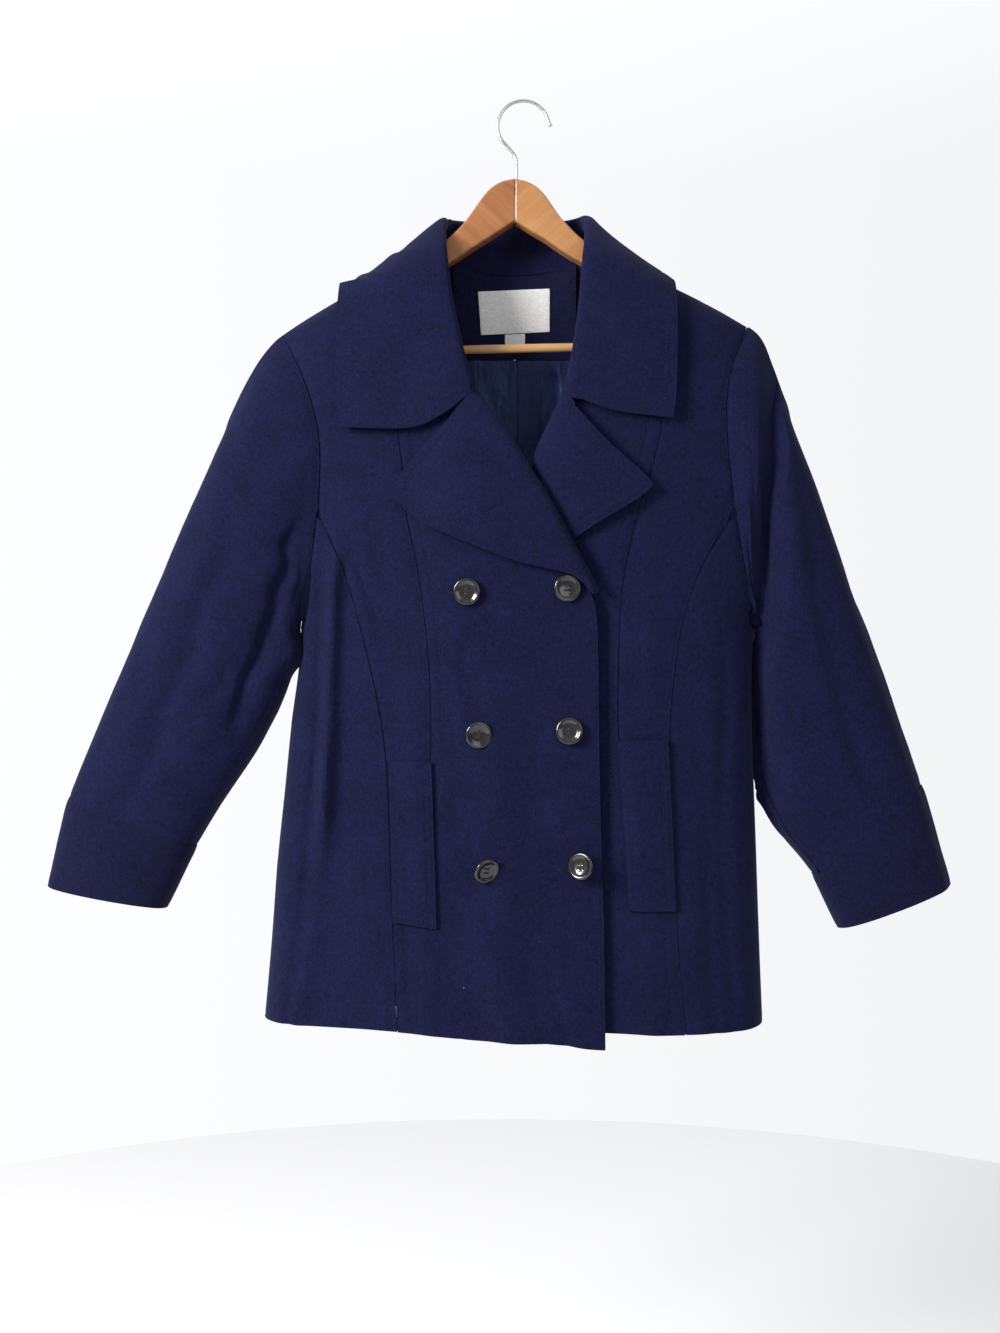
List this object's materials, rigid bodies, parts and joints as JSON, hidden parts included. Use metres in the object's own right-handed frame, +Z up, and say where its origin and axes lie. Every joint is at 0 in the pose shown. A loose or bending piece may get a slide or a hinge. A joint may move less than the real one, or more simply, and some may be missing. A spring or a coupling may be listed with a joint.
{
  "type": "pea coat on a wooden hanger",
  "caption": "Double-breasted wool pea coat with notched lapels, princess seams, pocket welts and cuffed sleeves, hanging on a wooden hanger.",
  "frame": {"origin": "where the hanger's hook bears on what holds it", "axes": "+X to the viewer's right as the coat's front is seen, +Y from the front of the coat to its back, +Z up"},
  "size_m": [0.8787, 0.131, 0.9082],
  "materials": {
    "melton": "felted wool with a short nap",
    "satin": "satin",
    "label_satin": "satin",
    "button_black": "polished",
    "beech": "clear lacquer",
    "hook_steel": "bright wire"
  },
  "bodies": {
    "root": {"front_center_right": "melton", "front_middle_right": "melton", "front_side_right": "melton", "back_right": "melton", "sleeve_top_right": "melton", "sleeve_under_right": "melton", "cuff_right": "melton", "lapel_right": "melton", "welt_right": "melton", "front_center_left": "melton", "front_middle_left": "melton", "front_side_left": "melton", "back_left": "melton", "sleeve_top_left": "melton", "sleeve_under_left": "melton", "cuff_left": "melton", "lapel_left": "melton", "welt_left": "melton", "collar": "melton", "neck_facing": "melton", "lining_back_right": "satin", "lining_back_left": "satin", "neck_label": "label_satin", "size_tab": "label_satin", "button_top_outer": "button_black", "button_top_front": "button_black", "button_middle_outer": "button_black", "button_middle_front": "button_black", "button_low_outer": "button_black", "button_low_front": "button_black", "hanger_arm_right": "beech", "hanger_arm_left": "beech", "hanger_bar": "beech", "hanger_hook": "hook_steel"}
  },
  "joints": []
}
